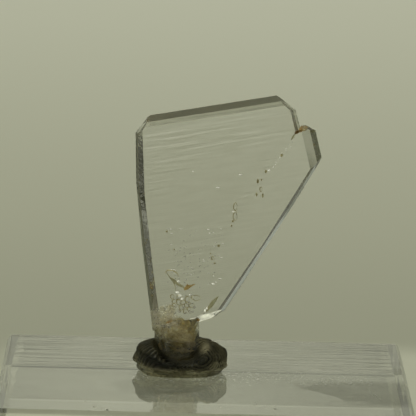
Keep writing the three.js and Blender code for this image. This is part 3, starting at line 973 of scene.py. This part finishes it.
def add_dust():
    """Grains and a hair-thin scrape on top of the block."""
    rng = np.random.default_rng(5)
    bm = bmesh.new()
    middle, spread = DUST_Y
    across, back, up = DUST_HALF
    for index in range(DUST_COUNT):
        x = rng.uniform(*DUST_X)
        y = middle + spread * rng.normal()
        size = (rng.uniform(*across), rng.uniform(*back), up)
        add_blob(bm, on_block(x, y), size, index, detail=1)
    for index, (x, y, radius) in enumerate(BRIGHT_GRAINS):
        add_blob(bm, on_block(x, y), (radius, radius, 0.6 * radius), index + 80, detail=2)
    add_tube(bm, [on_block(x, y) for x, y in SCRAPE], SCRAPE_WIDTH)
    make_piece("dust", bm, grain_material("dust", DUST, 0.3), slot="acrylic")


# ---- putty

def putty_reach(angle):
    """Plan of the lump, as a share of its half width: an uneven oval with a blunt nub at the left."""
    reach = 1 + NUB_SIZE * np.exp(-((np.abs(angle - pi) / NUB_SPREAD) ** 2))
    for waves, size, start in DENTS:
        reach = reach + size * np.cos(waves * angle + start)
    return reach


def finger_ridge(angle, share):
    """The broad curved ridges that fingers left on the lump."""
    wave = FINGER_WAVES * share + FINGER_SWAY * np.sin(angle - FINGER_TURN)
    return FINGER_HEIGHT * np.sin(wave) * np.sin(pi * share)


def putty_skin():
    """Points of the lump in millimetres above the block, ring by ring from the top to the foot."""
    angle = np.linspace(0, 2 * pi, PUTTY_STEPS, endpoint=False)[None, :]
    share = np.linspace(0, 1, PUTTY_RINGS + 1)[1:, None]
    ridge = finger_ridge(angle, share)
    waist = WAIST * PUTTY_HEIGHT
    below = share > WAIST_SHARE
    turn = np.where(below, (share - WAIST_SHARE) / (1 - WAIST_SHARE), share / WAIST_SHARE)
    swell = np.where(below, 1 - (1 - PUTTY_FOOT) * turn ** 2, np.sin(turn * pi / 2) ** 0.9)
    x = (PUTTY_HALF[0] + ridge) * putty_reach(angle) * swell * np.cos(angle)
    y = (PUTTY_HALF[1] + ridge) * putty_reach(angle) * swell * np.sin(angle)
    dome = (PUTTY_HEIGHT - waist) * np.clip(np.cos(turn * pi / 2), 0, 1) ** 0.75
    dome = dome + ridge * (1 - turn ** 2) / 2
    dip = DIP_DEPTH * np.exp(-((x / DIP_HALF_WIDTH) ** 4)) / (1 + np.exp((y - DIP_BACK) / DIP_EDGE))
    z = np.where(below, waist * (1 - turn), waist + dome * (1 - dip))
    return np.stack([PUTTY_AT.x + x, PUTTY_AT.y + y, z], axis=-1)


def skin_normals(skin):
    around = np.roll(skin, -1, axis=1) - np.roll(skin, 1, axis=1)
    down = np.gradient(skin, axis=0)
    normal = np.cross(down, around)
    return normal / np.maximum(np.linalg.norm(normal, axis=-1, keepdims=True), 1e-9)


def segment_distance(spot, start, end):
    nearest, share = geometry.intersect_point_line(spot, start, end)
    if share < 0:
        nearest = start
    elif share > 1:
        nearest = end
    return (spot - nearest).length


def groove_distance(point):
    """Distance from the groove that parts the front of the right shoulder from its rim."""
    if point.y > GROOVE_BACK:
        return inf
    spot = Vector((point.x, point.z))
    return min(segment_distance(spot, start, end) for start, end in zip(GROOVE, GROOVE[1:]))


def finger_marks(point):
    """Height of the fine curved marks of fingertips, of folds near the foot and of the groove."""
    wander = noise.fractal(point / WANDER_SCALE, 1.0, 2.0, 3)
    whorl = RIGHT_WHORL if point.x > WHORLS_MEET else LEFT_WHORL
    wave = sin(2 * pi * (point - whorl).length / MARK_PITCH + MARK_SWAY * wander)
    patch = min(max(0.75 + 1.6 * noise.noise(point / PATCH_SCALE + Vector((4, 0, 0))), 0.4), 1)
    spot = Vector(part / scale for part, scale in zip(point, FOLD_SCALE))
    folds = noise.fractal(spot, 1.0, 2.0, 3)
    low = min(max((FOLD_TOP - point.z) / FOLD_FADE, 0), 1)
    marks = MARK_HEIGHT * wave * patch * (1 - low) + FOLD_HEIGHT * folds * low + WANDER_HEIGHT * wander
    return marks - GROOVE_DEPTH * exp(-(groove_distance(point) / GROOVE_WIDTH) ** 2)


def marked_rings(bm):
    """Rings of points on the lump's skin, raised or sunk by the marks."""
    skin = putty_skin()
    rings = []
    for ring, ring_normals in zip(skin, skin_normals(skin)):
        points = []
        for place, normal in zip(ring, ring_normals):
            point = Vector(place)
            fade = min(point.z / MARK_FOOT, 1)
            point += Vector(normal) * finger_marks(point) * fade
            points.append(bm.verts.new((point.x * MM, point.y * MM, BLOCK_TOP + max(point.z, 0) * MM)))
        rings.append(points)
    return rings


def add_putty():
    """The lump, as the model has it, with finer marks."""
    bm = bmesh.new()
    rings = marked_rings(bm)
    top = bm.verts.new(sum((vertex.co for vertex in rings[0]), Vector()) / PUTTY_STEPS)
    foot = bm.verts.new((PUTTY_AT.x * MM, PUTTY_AT.y * MM, BLOCK_TOP))
    for step in range(PUTTY_STEPS):
        after = (step + 1) % PUTTY_STEPS
        bm.faces.new((top, rings[0][step], rings[0][after]))
        bm.faces.new((foot, rings[-1][after], rings[-1][step]))
        for first, second in zip(rings, rings[1:]):
            bm.faces.new((first[step], second[step], second[after], first[after]))
    for face in bm.faces:
        face.smooth = True
    make_piece("putty", bm, putty_material(), node="putty_mount", slot="putty")


# ---- studio

def add_floor():
    bm = bmesh.new()
    bmesh.ops.create_circle(bm, cap_ends=True, segments=96, radius=FLOOR_RADIUS)
    bmesh.ops.translate(bm, verts=bm.verts, vec=(0, 0, -FLOOR_DROP))
    make_object("floor", bm, floor_material())


def add_light(name, kind, place, power, aim=None, **settings):
    """A light that faces down, or at a place, and lights matt surfaces alone."""
    light = bpy.data.lights.new(name, kind)
    light.energy = power
    for key, value in settings.items():
        setattr(light, key, value)
    made = new_object(name, light)
    made.location = place
    if aim:
        made.rotation_euler = (Vector(aim) - Vector(place)).to_track_quat("-Z", "Y").to_euler()
    made.visible_camera = False
    made.visible_glossy = False
    made.visible_transmission = False


def add_lights():
    """One broad light from behind, round patches of light on the floor, and one on the putty's front."""
    add_light("back", "AREA", BACK_LIGHT, BACK_POWER, size=BACK_SIZE)
    for name, middle, radius, power, softness in POOLS:
        spread = 2 * atan2(radius, POOL_HEIGHT)
        add_light(name, "SPOT", (*middle, POOL_HEIGHT), power, spot_size=spread, spot_blend=softness,
                  shadow_soft_size=0.005)
    add_light("putty_light", "SPOT", PUTTY_LIGHT, PUTTY_POWER, aim=PUTTY_LIGHT_AIM,
              spot_size=PUTTY_SPREAD, spot_blend=0.4, shadow_soft_size=0.01)


def stage_card(name, bm, material):
    """A stage card that is seen only in and through what mirrors or refracts it."""
    card = make_object(name, bm, material)
    card.visible_camera = False
    card.visible_diffuse = False
    card.visible_shadow = False
    return card


def add_flag(name, low, high, level):
    """A dark card that shades what the crystal and the block mirror and refract."""
    bm = bmesh.new()
    made = bmesh.ops.create_cube(bm, size=1.0)["verts"]
    low, high = Vector(low), Vector(high)
    for vertex in made:
        vertex.co = (low + high) / 2 + Vector(a * b for a, b in zip(vertex.co, high - low))
    material, graph, shader = new_material(name)
    graph.fill(shader, {"Base Color": rgba(tuple(level * channel for channel in PALE)), "Roughness": 0.9})
    stage_card(name, bm, material)


def far_card_material():
    """Glows all over, less in its shade and more in its disc."""
    material, graph, shader = new_material("far_card")
    place = graph.place()
    shade = graph.ramp(graph.reach(place, *FAR_SHADE), 0.85, 1.25, *FAR_SHADE_LEVEL)
    disc = graph.ramp(graph.reach(place, *FAR_DISC), 1.02, 0.98, 0, FAR_DISC_LEVEL)
    level = graph.maths("MAXIMUM", shade, disc)
    graph.fill(shader, {
        "Base Color": rgba((0, 0, 0)),
        "Emission Color": rgba(PALE),
        "Emission Strength": level,
    })
    return material


def add_far_card():
    """A dim card far behind, whose mirror image darkens the right of the block's top."""
    bm = bmesh.new()
    (left, low), (right, high) = FAR_CARD
    corners = ((left, low), (right, low), (right, high), (left, high))
    bm.faces.new([bm.verts.new((x * MM, FAR_CARD_BACK * MM, z * MM)) for x, z in corners])
    card = stage_card("far_card", bm, far_card_material())
    card.visible_transmission = False


def direction(azimuth, elevation):
    """Unit vector at these angles in degrees; azimuth 0 is straight back, and + is to the right."""
    azimuth, elevation = radians(azimuth), radians(elevation)
    return Vector((sin(azimuth) * cos(elevation), cos(azimuth) * cos(elevation), sin(elevation)))


def add_sky_patch(graph, middle, edge, low, high):
    """A level that rises from low to high in a soft round patch of the sky."""
    sky = graph.add("ShaderNodeTexCoord").outputs["Generated"]
    nearness = graph.vector_maths("DOT_PRODUCT", sky, direction(*middle))["Value"]
    inner, outer = [cos(radians(angle)) for angle in edge]
    return graph.ramp(nearness, outer, inner, low, high)


def add_world():
    """A dim sky with a bright soft patch behind the part and two small lights."""
    world = bpy.data.worlds.new("world")
    graph = Graph(world)
    level = add_sky_patch(graph, *PATCH)
    level = graph.maths("ADD", level, add_sky_patch(graph, *SKYLIGHT))
    window = add_sky_patch(graph, *WINDOW)
    graph.fill(graph.tree.nodes["Background"], {
        "Color": graph.blend(window, PALE, WINDOW_COLOR),
        "Strength": graph.maths("ADD", level, graph.times(window, WINDOW_LEVEL)),
    })
    bpy.context.scene.world = world


def set_bounces():
    """Light zigzags many times inside a thin crystal before it finds a way out."""
    cycles = bpy.context.scene.cycles
    cycles.max_bounces = BOUNCES
    cycles.glossy_bounces = BOUNCES
    cycles.transmission_bounces = BOUNCES


def add_camera():
    camera = bpy.data.cameras.new("camera")
    camera.lens = CAMERA_LENS
    camera.clip_start = 0.05
    camera.clip_end = 10
    ahead = direction(CAMERA_AZIMUTH, -CAMERA_ELEVATION)
    level = ahead.cross(UP).normalized()
    up = level.cross(ahead)
    right = cos(CAMERA_ROLL) * level + sin(CAMERA_ROLL) * up
    up = right.cross(ahead)
    turn = Matrix((right, up, -ahead)).transposed().to_4x4()
    made = new_object("camera", camera)
    made.matrix_world = Matrix.Translation(CAMERA_AIM - CAMERA_DISTANCE * ahead) @ turn
    bpy.context.scene.camera = made


add_camera()
add_world()
add_floor()
set_bounces()
add_lights()
for flag in FLAGS:
    add_flag(*flag)
add_quartz()
add_notch_stains()
add_brown_specks()
add_pale_specks()
add_loops()
add_cracks()
add_leaves()
add_ochre_rims()
add_root_veils()
add_far_card()
add_block()
add_dust()
add_putty()
bpy.context.scene.view_settings.view_transform = "Standard"
